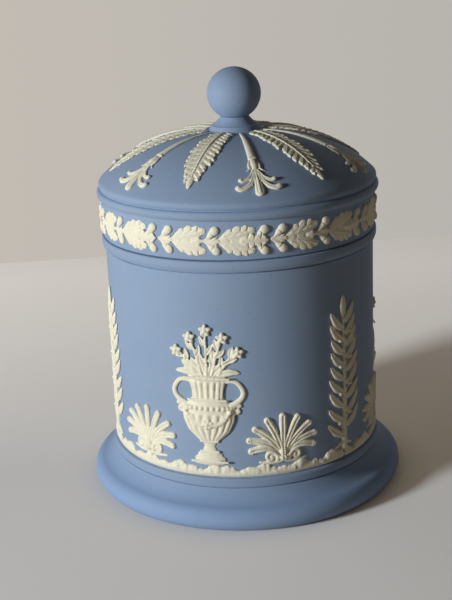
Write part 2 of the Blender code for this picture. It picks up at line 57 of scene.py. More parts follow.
# Turned bodies, in millimetres and degrees
JAR_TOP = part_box("jar_body")[1] / MM
BASE_RADIUS = JAR_TOP.x
JAR_HEIGHT = JAR_TOP.z
WALL_RADIUS = 52.5
BORE_RADIUS = 47.7
FLOOR_TOP = 10.0
FLOOR_FILLET = 5.0
RIM_RADIUS = 53.8
RIM_FOOT = 98.1
BAND_RADIUS = 54.1
BAND_TOP = 18.6
BAND_FOOT = 14.9
SWEEP_RUN = 3.6
BASE_ROLL = 4.8
ROLL_START = 72.0
ROLL_END = -80.0
FOOT_INNER = 50.9
FOOT_RECESS = 4.0
FIT_GAP = 0.3
LID_SEAT = JAR_HEIGHT + FIT_GAP
LID_BAND_RADIUS = 53.1
LID_BAND_TOP = LID_SEAT + 14.3
BEAD_RADIUS = 54.8
BEAD_TOP = LID_BAND_TOP + 4.1
SHOULDER_RADIUS = 53.9
SHOULDER_ROLL = 2.0
SHOULDER_UNDERCUT = -45.0
DOME_TOP = LID_SEAT + 37.9
DOME_EDGE_ANGLE = 46.0
COLLAR_FOOT_RADIUS = 10.6
COLLAR_EDGE_RADIUS = 8.6
COLLAR_STEP = 2.1
COLLAR_TOP = LID_SEAT + 43.1
NECK_RADIUS = 5.3
PEG_RADIUS = 3.0
PEG_LENGTH = 5.0
KNOB_RADIUS = 10.35
KNOB_FLATNESS = 0.965
LID_WALL = 4.7
SPIGOT_RADIUS = 46.9
SPIGOT_INNER = 42.9
SPIGOT_FOOT = LID_SEAT - 9.0
SEAL_GROOVE = 45.9
SEAL_TOP = LID_SEAT - 3.1
SEAL_FOOT = SEAL_TOP - 3.6
SEAL_INNER = 46.2
SEAL_OUTER = 47.4
SPIN_STEPS = 192
KNOB_STEPS = 96
CORNER_STEPS = 5
SWEEP_STEPS = 18
ROLL_STEPS = 26
COLLAR_STEPS = 12
DOME_STEPS = 36
SHOULDER_STEPS = 12
INSIDE_STEPS = 12
BALL_STEPS = 48
WELD_DISTANCE = 0.002
CREASE_ANGLE = 32.0

# Reliefs, in millimetres and degrees: FINE_CLAY and WALL_CLAY are the grain of the fused clay
BURIED = 0.15
CUT_REACH = 0.0001
CAP_STRIP = 4.0
LUMP_BATCH = 40
LUMP_FINENESS = 2
FINE_CLAY = 0.19
WALL_CLAY = 0.22
SOFT_PASSES = 2
SOFT_SHARE = 0.5
PRESS_STEPS = 23
PRESS_FREE = 0.6
DOME_PAIRS = 6
FLOWER_AZIMUTH = 9.0
GARLAND_LENGTHS = 8
GARLAND_UNITS = 2
GARLAND_PITCH = 0.425
GARLAND_AZIMUTH = 11.6
WALL_REPEATS = 3
WALL_AZIMUTH = -15.0
STRIP_FOOT = 19.4
MOTIF_FOOT = 24.1
MOTIF_GROWN = 1.14
URN_HEIGHT = 30.6
URN_RINGS = 150
URN_DEPTH = 0.24
LEAF_LOW = 0.92
FLOWER_LOW = 0.82
GARLAND_LOW = 0.85

# Finishes: linear colours, heights in metres, and grains as features in a metre
BLUE_PALE = (0.325, 0.440, 0.630)
BLUE_DEEP = (0.240, 0.355, 0.550)
BLUE_FLECK = (0.150, 0.230, 0.390)
# painted light: a bluer colour low on the jar's base stands in for cool light reflected from the floor
BLUE_PAINTED_BOUNCE = (0.273, 0.435, 0.757)
PAINTED_BOUNCE_FROM = 0.009
PAINTED_BOUNCE_TO = 0.015
PAINTED_BOUNCE_SHARE = 0.6
BLUE_TONE = 32.0
BLUE_GRAIN = 2600.0
FLECK_GRAIN = 750.0
TURNING_LINES = 1100.0
TURNING_ROUND = 14.0
TURNING_SLANT = 0.7
CREAM = (0.875, 0.868, 0.715)
CREAM_PALE = (0.945, 0.938, 0.800)
# painted shade: the colour the cream turns to in the reliefs' hollows
CREAM_PAINTED_SHADE = (0.560, 0.500, 0.350)
CREAM_TONE = 60.0
CREAM_GRAIN = 3200.0
SEAL_GREY = (0.60, 0.58, 0.53)
SEAL_DARK = (0.46, 0.44, 0.40)
SEAL_BLOOM = 220.0
SEAL_GRAIN = 2400.0
# painted light: the floor's colour runs from dim near the front to pale far off
FLOOR_FAR = (0.98, 0.98, 0.98)
FLOOR_NEAR = (0.47, 0.505, 0.565)
FLOOR_DIM = (0.42, 0.36, 0.30)
# painted light: a glow of fill light that only the camera sees, near and far
FLOOR_PAINTED_GLOW = (0.128, 0.106, 0.077)
FLOOR_PAINTED_GLOW_FAR = (0.205, 0.185, 0.165)
BACKDROP_LEFT = (0.545, 0.505, 0.455)
BACKDROP_RIGHT = (0.470, 0.452, 0.424)

# Camera, in millimetres and degrees, for the photograph's frame of 452 by 600 pixels
IMAGE_HEIGHT = 600
FOCAL_PIXELS = 1231.1
CAMERA_DISTANCE = 494.4
CAMERA_ELEVATION = 17.21
CAMERA_ROLL = -2.322
CAMERA_TARGET = Vector((-6.19, 0.0, 71.97))
SENSOR = 36.0
CLIP_START = 0.01

# Light and floor, in metres and degrees
KEY_AZIMUTH = -55.0
KEY_ELEVATION = 13.0
KEY_DISTANCE = 1.2
KEY_AIM = 0.08
KEY_SIZE = 0.22
KEY_LEVEL = 0.80
KEY_COLOUR = (1.0, 0.985, 0.95)
SKY_LEVEL = 0.005
SKY_BACK = 0.45
SKY_RIGHT = 0.2
SKY_RIGHT_TOP = 0.4
SKY_COLOUR = (1.0, 0.80, 0.62)
BACKDROP_BLEND = 0.2
FLOOR_REACH = 2.5
FLOOR_BACK = 0.352
FLOOR_SLANT = 0.097
FLOOR_DROP = 0.00005
# where the painted light on the floor starts to pale and where it is palest, front to back
FLOOR_PALE_FROM = 0.0
FLOOR_PALE_TO = 0.3
FLOOR_LEAN = 25.0
# how far from the jar the painted contact shadow on the floor reaches
PAINTED_SHADE_REACH = 0.015


def straight(start, end):
    """A straight path between two points."""
    return lambda along: Vector(start).lerp(Vector(end), along)


def bow(start, middle, end):
    """A curved path from start to end that is drawn towards its middle point."""
    def point(along):
        left = Vector(start).lerp(Vector(middle), along)
        right = Vector(middle).lerp(Vector(end), along)
        return left.lerp(right, along)
    return point


def spiral(centre, outer, inner, start, turn):
    """A path that winds in round a centre, from an outer to an inner radius. Angles are in degrees."""
    def point(along):
        angle = math.radians(start + turn * along)
        reach = outer + (inner - outer) * along
        return Vector((centre[0] + reach * math.cos(angle), centre[1] + reach * math.sin(angle)))
    return point


def swell(*widths):
    """Widths at equal steps along a path, joined by smooth curves."""
    def width(along):
        reach = min(max(along, 0.0), 1.0) * (len(widths) - 1)
        step = min(int(reach), len(widths) - 2)
        ease = reach - step
        ease = ease * ease * (3 - 2 * ease)
        return widths[step] + (widths[step + 1] - widths[step]) * ease
    return width


def arc(centre, radius, start, end, count):
    """Profile points on an arc, from one angle in degrees to another."""
    points = []
    for step in range(count + 1):
        angle = math.radians(start + (end - start) * step / count)
        points.append((centre[0] + radius * math.cos(angle), centre[1] + radius * math.sin(angle)))
    return points


def eased(corners):
    """Profile points from corners of radius, height and how far the corner is rounded back."""
    points = []
    for index, corner in enumerate(corners):
        at = Vector(corner[:2])
        ease = corner[2] if len(corner) > 2 else 0.0
        if not ease or index in (0, len(corners) - 1):
            points.append(tuple(at))
            continue
        before = Vector(corners[index - 1][:2]) - at
        after = Vector(corners[index + 1][:2]) - at
        turn = bow(at + before.normalized() * min(ease, before.length * 0.49), at,
                   at + after.normalized() * min(ease, after.length * 0.49))
        points += [tuple(turn(step / CORNER_STEPS)) for step in range(CORNER_STEPS + 1)]
    return points


class Dome:
    """The arc of the dome's profile, which meets the shoulder's roll without a corner."""

    def __init__(self):
        edge = math.radians(DOME_EDGE_ANGLE)
        outward = Vector((math.cos(edge), math.sin(edge)))
        self.roll_centre = Vector((SHOULDER_RADIUS - SHOULDER_ROLL, BEAD_TOP + SHOULDER_ROLL * 0.55))
        foot = self.roll_centre + outward * SHOULDER_ROLL
        crown = Vector((COLLAR_FOOT_RADIUS, DOME_TOP))
        rise = crown - foot
        self.radius = -rise.length_squared / (2 * rise.dot(outward))
        self.centre = foot - outward * self.radius
        top = crown - self.centre
        self.top_angle = math.atan2(top.y, top.x)
        self.length = self.radius * (self.top_angle - edge)

    def at(self, distance, height):
        """Radius and height of a point that far down the dome and that high above it."""
        angle = self.top_angle - distance / self.radius
        reach = self.radius + height
        return self.centre.x + reach * math.cos(angle), self.centre.y + reach * math.sin(angle)

    def underside(self, radius):
        """Height of the dome's inner face at a radius."""
        inner = self.radius - LID_WALL
        return self.centre.y + math.sqrt(inner ** 2 - (radius - self.centre.x) ** 2)


DOME = Dome()


def jar_profile():
    """From the middle of the floor up the bore, over the rim, down the outside and under the foot."""
    inside = [(0, FLOOR_TOP), (BORE_RADIUS, FLOOR_TOP, FLOOR_FILLET), (BORE_RADIUS, JAR_HEIGHT, 0.9)]
    rim = [(RIM_RADIUS - 0.05, JAR_HEIGHT, 0.7), (RIM_RADIUS, JAR_HEIGHT - 1.4, 0.6),
           (RIM_RADIUS + 0.05, JAR_HEIGHT - 2.6, 0.8), (RIM_RADIUS - 0.6, RIM_FOOT + 0.25, 0.25)]
    rim_groove = [(WALL_RADIUS - 0.6, RIM_FOOT + 0.05, 0.1), (WALL_RADIUS - 0.6, RIM_FOOT - 0.3, 0.1)]
    wall = [(WALL_RADIUS, RIM_FOOT - 0.4, 0.12), (WALL_RADIUS, BAND_TOP, 0.1)]
    band = [(BAND_RADIUS - 0.35, BAND_TOP - 0.1, 0.25), (BAND_RADIUS, BAND_TOP - 0.7, 0.4),
            (BAND_RADIUS - 0.1, BAND_FOOT + 0.3, 0.3)]
    band_groove = [(BAND_RADIUS - 1.1, BAND_FOOT + 0.1, 0.1), (BAND_RADIUS - 1.1, BAND_FOOT - 0.2, 0.1),
                   (BAND_RADIUS - 0.5, BAND_FOOT - 0.32)]
    points = eased(inside + rim + rim_groove + wall + band + band_groove)
    roll_centre = (BASE_RADIUS - BASE_ROLL, BASE_ROLL)
    roll = arc(roll_centre, BASE_ROLL, ROLL_START, ROLL_END, ROLL_STEPS)
    fall = math.radians(90 - ROLL_START)
    turn = (roll[0][0] - SWEEP_RUN * math.cos(fall), roll[0][1] + SWEEP_RUN * math.sin(fall))
    sweep = bow((BAND_RADIUS - 0.45, BAND_FOOT - 0.4), turn, roll[0])
    points += [tuple(sweep(step / SWEEP_STEPS)) for step in range(SWEEP_STEPS)]
    points += roll
    points += eased([(roll_centre[0], 0.0), (FOOT_INNER, 0.0, 0.5), (FOOT_INNER - 0.6, FOOT_RECESS, 0.8),
                     (0, FOOT_RECESS)])
    return points


def lid_profile():
    """From the knob's socket over the dome, down the band, round the spigot and up the inside."""
    socket = PEG_RADIUS + FIT_GAP
    socket_floor = COLLAR_TOP - PEG_LENGTH - FIT_GAP
    points = [(0, socket_floor), (socket, socket_floor), (socket, COLLAR_TOP)]
    collar_edge = (COLLAR_EDGE_RADIUS, DOME_TOP + COLLAR_STEP)
    slope = bow((NECK_RADIUS + 0.1, COLLAR_TOP), (NECK_RADIUS + 1.5, DOME_TOP + 3.4), collar_edge)
    points += [tuple(slope(step / COLLAR_STEPS)) for step in range(COLLAR_STEPS + 1)]
    points += eased([collar_edge, (COLLAR_EDGE_RADIUS + 0.55, DOME_TOP + COLLAR_STEP - 0.15, 0.3),
                     (COLLAR_FOOT_RADIUS - 0.7, DOME_TOP + 0.3, 0.5), (COLLAR_FOOT_RADIUS, DOME_TOP)])
    points += [DOME.at(DOME.length * step / DOME_STEPS, 0.0) for step in range(1, DOME_STEPS)]
    points += arc(DOME.roll_centre, SHOULDER_ROLL, DOME_EDGE_ANGLE, SHOULDER_UNDERCUT, SHOULDER_STEPS)
    bead = [(BEAD_RADIUS - 1.5, BEAD_TOP - 0.6), (BEAD_RADIUS - 0.5, BEAD_TOP - 0.85, 0.6),
            (BEAD_RADIUS - 0.02, BEAD_TOP - 1.9, 0.7), (BEAD_RADIUS - 0.1, BEAD_TOP - 2.9, 0.5),
            (BEAD_RADIUS - 0.75, LID_BAND_TOP + 0.2, 0.35)]
    band = [(LID_BAND_RADIUS + 0.05, LID_BAND_TOP, 0.08), (LID_BAND_RADIUS, LID_BAND_TOP - 0.9, 0.3),
            (LID_BAND_RADIUS, LID_SEAT, 0.55)]
    groove = [(SPIGOT_RADIUS, SEAL_TOP + FIT_GAP), (SEAL_GROOVE, SEAL_TOP + FIT_GAP),
              (SEAL_GROOVE, SEAL_FOOT - FIT_GAP), (SPIGOT_RADIUS, SEAL_FOOT - FIT_GAP)]
    spigot = [(SPIGOT_RADIUS, LID_SEAT, 0.2), *groove, (SPIGOT_RADIUS, SPIGOT_FOOT, 0.7),
              (SPIGOT_INNER, SPIGOT_FOOT, 0.7), (SPIGOT_INNER, LID_SEAT + LID_WALL, 2.0)]
    hollow_radius = LID_BAND_RADIUS - LID_WALL
    hollow = [(hollow_radius, LID_SEAT + 2 * LID_WALL, 2.0),
              (hollow_radius, DOME.underside(hollow_radius), 2.0)]
    points += eased(bead + band + spigot + hollow)
    for step in range(1, INSIDE_STEPS + 1):
        radius = hollow_radius + (DOME.centre.x - hollow_radius) * step / INSIDE_STEPS
        points.append((radius, DOME.underside(radius)))
    points.append((0, DOME.underside(DOME.centre.x)))
    return points


def knob_profile():
    """The ball, a little flattened, its flat where it meets the collar, and the peg that locates it."""
    seat = COLLAR_TOP + FIT_GAP / 3
    centre = math.sqrt(KNOB_RADIUS ** 2 - NECK_RADIUS ** 2)
    flat_angle = -math.degrees(math.acos(NECK_RADIUS / KNOB_RADIUS))
    ball = arc((0.0, centre), KNOB_RADIUS, 90, flat_angle, BALL_STEPS)
    points = [(radius, seat + rise * KNOB_FLATNESS) for radius, rise in ball]
    points[0] = (0.0, points[0][1])
    points += [(PEG_RADIUS, seat), (PEG_RADIUS, seat - PEG_LENGTH), (0.0, seat - PEG_LENGTH)]
    return points


def seal_profile():
    """A flat soft ring with rounded edges and two fine ribs on its outer face, closed on itself."""
    middle = (SEAL_TOP + SEAL_FOOT) / 2
    upper = [(SEAL_INNER, middle), (SEAL_INNER, SEAL_TOP, 0.3), (SEAL_OUTER, SEAL_TOP, 0.5),
             (SEAL_OUTER, middle + 0.6, 0.3), (SEAL_OUTER - 0.3, middle, 0.4)]
    lower = [(SEAL_OUTER, middle - 0.6, 0.3), (SEAL_OUTER, SEAL_FOOT, 0.5), (SEAL_INNER, SEAL_FOOT, 0.3),
             (SEAL_INNER, middle)]
    return eased(upper + lower)


def turned(profile, steps):
    """A turned mesh from a profile of radius and height."""
    work = bmesh.new()
    verts = [work.verts.new((radius * MM, 0.0, height * MM)) for radius, height in profile]
    edges = [work.edges.new(pair) for pair in zip(verts, verts[1:])]
    bmesh.ops.spin(work, geom=verts + edges, cent=(0, 0, 0), axis=(0, 0, 1), angle=2 * math.pi,
                   steps=steps, use_merge=True)
    bmesh.ops.remove_doubles(work, verts=work.verts, dist=WELD_DISTANCE * MM)
    bmesh.ops.recalc_face_normals(work, faces=work.faces)
    mesh = bpy.data.meshes.new("turned")
    work.to_mesh(mesh)
    work.free()
    mesh.shade_smooth()
    mesh.set_sharp_from_angle(angle=math.radians(CREASE_ANGLE))
    return mesh


class Relief:
    """A flat relief under the modeller's tools, in millimetres: x across, y along, z out of the ground."""

    def __init__(self):
        self.lumps = []
        self.lines = []

    def lump(self, at, size, turn=0.0, lift=0.0):
        """Adds an oval lump. Size is its half length, half width and half thickness."""
        place = Matrix.Translation((at[0], at[1], lift)) @ Matrix.Rotation(math.radians(turn), 4, "Z")
        self.lumps.append(place @ Matrix.Diagonal((*size, 1.0)))

    def roll(self, path, width, steps, flat=0.7, lift=0.0):
        """Lays a roll along a path. Its half thickness is its half width times flat."""
        for step in range(steps + 1):
            along = step / steps
            reach = width(along)
            self.lump(path(along), (reach, reach, reach * flat), 0.0, lift)

    def press(self, path, width, depth):
        """Notes a line to press into the fused clay, or to raise where depth is negative."""
        line = [path(step / PRESS_STEPS) for step in range(PRESS_STEPS + 1)]
        self.lines.append((line, width, depth))

    def heaped(self):
        """All the lumps in one mesh, made a few at a time, since a large bmesh slows each new one."""
        heap = bmesh.new()
        for start in range(0, len(self.lumps), LUMP_BATCH):
            few = bmesh.new()
            for place in self.lumps[start:start + LUMP_BATCH]:
                bmesh.ops.create_icosphere(few, subdivisions=LUMP_FINENESS, radius=1.0, matrix=place)
            batch = bpy.data.meshes.new("batch")
            few.to_mesh(batch)
            few.free()
            heap.from_mesh(batch)
            bpy.data.meshes.remove(batch)
        mesh = bpy.data.meshes.new("clay")
        heap.to_mesh(mesh)
        heap.free()
        return mesh

    def fused(self, voxel):
        """The clay as one softened mass with its lines pressed in, cut level behind and closed."""
        rough = self.heaped()
        holder = bpy.data.objects.new("clay", rough)
        bpy.context.scene.collection.objects.link(holder)
        remesh = holder.modifiers.new("fuse", "REMESH")
        remesh.mode = "VOXEL"
        remesh.voxel_size = voxel
        graph = bpy.context.evaluated_depsgraph_get()
        mesh = bpy.data.meshes.new_from_object(holder.evaluated_get(graph))
        bpy.data.objects.remove(holder)
        bpy.data.meshes.remove(rough)
        work = bmesh.new()
        work.from_mesh(mesh)
        for _ in range(SOFT_PASSES):
            bmesh.ops.smooth_vert(work, verts=work.verts, factor=SOFT_SHARE, use_axis_x=True,
                                  use_axis_y=True, use_axis_z=True)
        self.press_lines(work)
        bpy.data.meshes.remove(mesh)
        return backed(work)

    def press_lines(self, work):
        """Moves the clay's surface in or out along the noted lines."""
        points = np.array([vert.co for vert in work.verts])
        for line, width, depth in self.lines:
            near = np.full(len(points), np.inf)
            for at in line:
                near = np.minimum(near, (points[:, 0] - at.x) ** 2 + (points[:, 1] - at.y) ** 2)
            free = np.clip(points[:, 2] / PRESS_FREE, 0.0, 1.0)
            points[:, 2] -= depth * np.exp(-near / width ** 2) * free
        for vert, point in zip(work.verts, points):
            vert.co = point


def backed(work):
    """Cuts a relief level behind, a little below the ground, and closes it there in narrow strips."""
    everything = work.verts[:] + work.edges[:] + work.faces[:]
    bmesh.ops.bisect_plane(work, geom=everything, dist=CUT_REACH, plane_co=(0, 0, -BURIED),
                           plane_no=(0, 0, 1), clear_inner=True)
    rim = [edge for edge in work.edges if edge.is_boundary]
    bmesh.ops.triangle_fill(work, edges=rim, normal=(0, 0, -1), use_beauty=True)
    low = min(vert.co.x for vert in work.verts)
    high = max(vert.co.x for vert in work.verts)
    for index in range(math.ceil(low / CAP_STRIP), math.floor(high / CAP_STRIP) + 1):
        back = [face for face in work.faces
                if all(abs(vert.co.z + BURIED) < 2 * CUT_REACH for vert in face.verts)]
        parts = {item for face in back for item in (*face.verts, *face.edges, face)}
        bmesh.ops.bisect_plane(work, geom=list(parts), dist=CUT_REACH, plane_co=(index * CAP_STRIP, 0, 0),
                               plane_no=(1, 0, 0))
    bmesh.ops.recalc_face_normals(work, faces=work.faces)
    return work


def bent(work, onto, grown=1.0, low=1.0):
    """A flat relief, grown across and along and lowered, as a finished mesh on a surface, in metres."""
    bmesh.ops.scale(work, vec=(grown, grown, low), verts=work.verts)
    for vert in work.verts:
        vert.co = onto(vert.co) * MM
    mesh = bpy.data.meshes.new("relief")
    work.to_mesh(mesh)
    work.free()
    mesh.shade_smooth()
    return mesh


def onto_cylinder(radius, foot):
    """Carries flat points (across, up, out) onto an upright wall, about the front."""
    def carry(point):
        angle = point.x / radius
        reach = radius + point.z
        return Vector((reach * math.sin(angle), -reach * math.cos(angle), foot + point.y))
    return carry


def onto_dome(point):
    """Carries flat points (leftwards, down the dome, out) onto the dome, about the front."""
    angle = -point.x / DOME.at(point.y, 0.0)[0]
    reach, height = DOME.at(point.y, point.z)
    return Vector((reach * math.sin(angle), -reach * math.cos(angle), height))


def leaf_tooth(relief, root, side, reach, lean, pitch):
    """One tooth of a dome leaf: two points, a raised vein, and an eye pressed in before the next tooth."""
    spine = bow((side * 0.35, root), (side * reach * 0.7, root + lean * 0.2), (side * reach, root + lean))
    relief.roll(spine, swell(0.5, 1.0, 1.3, 1.05, 0.25), 20, 0.4, 0.22)
    relief.lump(spine(0.88), (0.8, 0.5, 0.45), 90 - side * 35, 0.42)
    relief.lump(spine(0.58) + Vector((side * 0.75, 0.5)), (0.75, 0.5, 0.42), 90 - side * 45, 0.36)
    relief.press(straight(spine(0.12), spine(0.85)), 0.2, -0.12)
    eye = spine(0.3) + Vector((0, pitch * 0.52))
    relief.press(straight(eye, eye + Vector((side * 0.5, 0.5))), 0.3, 0.34)


def dome_leaf():
    """A long leaf, tip down: a filled blade, a thin raised rib and close forward teeth with lifted tips."""
    relief = Relief()
    draw = random.Random(5)
    start, tip, teeth = 1.2, 41.6, 13
    outline = swell(2.9, 3.9, 4.7, 5.2, 5.4, 5.2, 4.4, 2.9, 0.8)
    pitch = (tip - start - 4.4) / teeth
    rib = straight((0, start), (0, tip))
    relief.roll(lambda along: rib(0.03 + along * 0.83), lambda along: outline(along * 0.86) * 0.82,
                90, 0.1, 0.12)
    relief.roll(lambda along: rib(along * 0.9), swell(1.8, 2.4, 2.6, 2.3, 1.2), 90, 0.19, 0.12)
    for tooth in range(teeth):
        for side in (-1, 1):
            root = start + pitch * (tooth + 0.14 * side)
            lean = 4.2 + draw.uniform(-0.5, 0.5)
            share = (root + lean - start) / (tip - start)
            reach = outline(share) * (1.04, 0.94, 1.0)[tooth % 3] * draw.uniform(0.95, 1.04)
            leaf_tooth(relief, root, side, reach, lean, pitch)
    relief.roll(straight((0, tip - 4.6), (0, tip)), swell(1.2, 1.3, 1.0, 0.22), 24, 0.5, 0.25)
    for side in (-1, 1):
        relief.press(straight((side * 0.62, start), (side * 0.4, tip - 3)), 0.2, 0.22)
    relief.roll(lambda along: rib(along * 0.98), swell(0.46, 0.42, 0.36, 0.16), 110, 1.0, 0.55)
    return relief.fused(FINE_CLAY)


def dome_flower():
    """A stem with a stepped end, a bulb with thin hooked sepals, and five petals with rolled tips."""
    relief = Relief()
    relief.roll(straight((0, 1.3), (0, 25.8)), swell(0.6, 0.85, 1.1, 1.35, 1.52), 90, 0.75, 0.1)
    relief.roll(straight((-0.95, 26.2), (0.95, 26.2)), swell(0.68, 0.68), 10, 1.2, 0.4)
    relief.roll(straight((0, 27.3), (0, 32.2)), swell(1.2, 1.62, 1.65, 1.3, 1.05), 30, 0.8, 0.1)
    for side in (-1, 1):
        sepal = bow((side * 1.3, 27.6), (side * 2.2, 30.6), (side * 1.8, 31.8))
        relief.roll(sepal, swell(0.42, 0.56, 0.5), 20, 1.0, 0.3)
        hook = bow((side * 1.8, 31.6), (side * 2.0, 32.7), (side * 3.6, 33.3))
        relief.roll(hook, swell(0.48, 0.36, 0.16), 16, 1.0, 0.3)
        relief.press(bow((side * 1.0, 27.6), (side * 1.4, 30.0), (side * 1.0, 32.2)), 0.22, 0.4)
        upper = bow((side * 0.8, 32.2), (side * 1.9, 37.7), (side * 5.6, 38.1))
        relief.roll(upper, swell(0.48, 0.6, 0.78, 0.85), 34, 0.95, 0.3)
        relief.lump((side * 6.0, 37.9), (0.95, 0.9, 0.9), 0, 0.6)
        lower = bow((side * 0.5, 32.4), (side * 1.7, 41.7), (side * 6.8, 41.7))
        relief.roll(lower, swell(0.5, 0.75, 1.0, 1.15), 40, 0.9, 0.2)
        relief.lump((side * 7.3, 41.4), (1.25, 1.15, 1.0), 0, 0.5)
        relief.press(bow((side * 1.3, 34.4), (side * 2.2, 37.4), (side * 4.8, 38.2)), 0.24, 0.25)
        relief.press(bow((side * 1.1, 35.6), (side * 2.4, 41.2), (side * 5.8, 41.7)), 0.28, 0.28)
    relief.roll(straight((0, 32.2), (0, 43.4)), swell(0.6, 0.78, 1.08, 1.5, 1.75), 40, 0.72, 0.25)
    for side in (-1, 1):
        relief.press(bow((side * 0.3, 35.0), (side * 0.62, 39.4), (side * 0.75, 43.8)), 0.25, 0.32)
    return relief.fused(FINE_CLAY)


def acorn(relief, node, side, draw):
    """One acorn, leaning off the garland's stem: a thin stalk, a small cup and a full round nut."""
    lean = 41 + draw.uniform(-5, 6)
    heading = Vector((math.cos(math.radians(lean)), side * math.sin(math.radians(lean))))
    base = Vector((node + 1.7, side * 1.35))
    stalk = bow((node, side * 0.2), (node + 0.8, side * 0.5), base)
    relief.roll(stalk, swell(0.38, 0.38, 0.5), 12, 1.0, 0.25)
    relief.roll(straight(base, base + heading * 1.9), swell(0.55, 1.0, 1.35), 10, 0.78, 0.2)
    relief.lump(base + heading * 3.3, (1.9, 1.65, 1.12), side * lean, 0.3)
    across = Vector((-heading.y, heading.x))
    ring = base + heading * 1.9
    relief.press(bow(ring - across * 1.6, ring + heading * 0.5, ring + across * 1.6), 0.2, 0.2)


def oak_leaf(relief, root, side, draw):
    """One oak leaf of a pair: a broad low blade with round lobes, joined to its twin along the stem."""
    length = 12.4
    rib = bow((root, side * 0.4), (root + 6.0, side * 1.3), (root + length, side * 3.6))
    outer = bow((root + 1.4, side * 1.1), (root + 6.0, side * 3.7), (root + 12.0, side * 3.8))
    relief.roll(rib, swell(0.5, 1.4, 2.0, 2.0, 1.3), 34, 0.28, 0.12)
    relief.roll(outer, swell(0.6, 1.4, 1.7, 1.6, 1.2), 30, 0.33, 0.12)
    lobes = ((2.7, 1.9, 0.95), (4.5, 3.1, 1.5), (7.4, 3.9, 1.8), (10.2, 4.3, 1.35), (12.3, 3.8, 1.2),
             (10.8, 2.3, 0.95))
    for along, out, size in lobes:
        centre = Vector((root + along, side * out * draw.uniform(0.97, 1.03)))
        relief.lump(centre, (size, size, 0.47), 0, 0.12)
        relief.press(straight(rib(along / length - 0.2), centre), 0.2, -0.12)
    for along in (3.2, 5.2, 7.0, 8.8):
        relief.lump((root + along, side * 0.85), (1.3, 1.05, 0.5), 0, 0.12)
    for along, out in ((6.0, 3.7), (9.0, 3.9), (11.3, 3.7)):
        notch = straight((root + along - 0.2, side * (out + 2.2)), (root + along - 0.6, side * out))
        relief.press(notch, 0.2, 0.62)
    relief.press(rib, 0.22, -0.18)


def leaf_pair(relief, node, following, budded, draw):
    """Two oak leaves and their stem, from one pair of acorns to the following one."""
    root = node + 4.9
    stem = straight((node + 0.4, 0), (root + 0.4, 0))
    relief.roll(stem, swell(0.45, 0.75, 0.95, 0.7), 20, 0.7, 0.25)
    relief.press(straight((node + 1.4, 0), (root - 0.8, 0)), 0.2, 0.2)
    for side in (-1, 1):
        ear = straight((root - 1.7, side * 0.4), (root + 0.1, side * 1.5))
        relief.roll(ear, swell(0.5, 0.42, 0.2), 9, 0.9, 0.3)
        oak_leaf(relief, root, side, draw)
        if budded:
            relief.lump((root + 10.6, side * 0.8), (1.0, 0.6, 0.5), side * 20, 0.3)
    for along in (4.4, 7.6):
        relief.press(straight((root + along, 0), (root + along + 0.3, 0)), 0.26, 0.34)
    bract = straight((root + 8.4, 0), (following + 0.2, 0))
    relief.roll(bract, swell(0.4, 1.0, 1.2, 0.8, 0.4), 22, 0.6, 0.3)
    relief.press(straight((root + 8.8, 0), (following - 0.4, 0)), 0.2, -0.16)


def end_leaf(relief, node):
    """The single small leaf over the last pair of acorns."""
    blade = straight((node - 5.0, 0), (node + 5.6, 0))
    relief.roll(blade, swell(0.4, 1.3, 1.8, 1.9, 1.4, 0.3), 44, 0.24, 0.75)
    for along, out, size in ((-2.6, 0.6, 0.9), (-0.3, 1.4, 1.0), (2.0, 1.5, 1.0), (4.0, 0.9, 0.8)):
        for side in (-1, 1):
            relief.lump((node + along, side * out), (size, size, 0.4), 0, 0.7)
            notch = straight((node + along + 1.1, side * 2.6), (node + along + 0.8, side))
            relief.press(notch, 0.18, 0.4)
    relief.press(straight((node - 4, 0), (node + 5, 0)), 0.2, -0.2)


def oak_garland():
    """One length of the garland: acorn pairs and oak leaves in turn on a stem, and a single end leaf."""
    relief = Relief()
    draw = random.Random(12)
    length = 2 * math.pi * LID_BAND_RADIUS / GARLAND_LENGTHS - FIT_GAP
    pitch = length * GARLAND_PITCH
    stem = straight((0.5 - length / 2, 0), (length / 2 - 0.6, 0))
    relief.roll(stem, swell(0.45, 0.45), 120, 1.0, 0.15)
    for unit in range(GARLAND_UNITS + 1):
        node = unit * pitch - length / 2 + 0.5
        for side in (-1, 1):
            acorn(relief, node, side, draw)
        if unit < GARLAND_UNITS:
            leaf_pair(relief, node, node + pitch, unit == 0, draw)
    end_leaf(relief, node)
    return relief.fused(FINE_CLAY)


def ground_strip():
    """One length of the low strip that the wall's reliefs stand on, level below and rocky above."""
    relief = Relief()
    draw = random.Random(7)
    half = math.pi * WALL_RADIUS / WALL_REPEATS - FIT_GAP / 2
    for height, wide, flat in ((0.9, 1.0, 0.95), (0.2, 0.8, 0.8)):
        sill = straight((0.9 - half, height), (half - 0.9, height))
        relief.roll(sill, swell(wide, wide), 220, flat, 0.0)
    across = 1.6 - half
    while across < half - 1.6:
        rise = 2.1 + 0.9 * math.sin(across * 0.41) + 0.6 * math.sin(across * 0.93 + 1.0)
        size = (draw.uniform(1.2, 2.3), rise * 0.55 + 0.55, draw.uniform(0.8, 1.15))
        relief.lump((across, rise * 0.55 + 0.5), size, draw.uniform(-25, 25), draw.uniform(-0.1, 0.15))
        across += draw.uniform(0.8, 1.7)
    return relief.fused(WALL_CLAY)


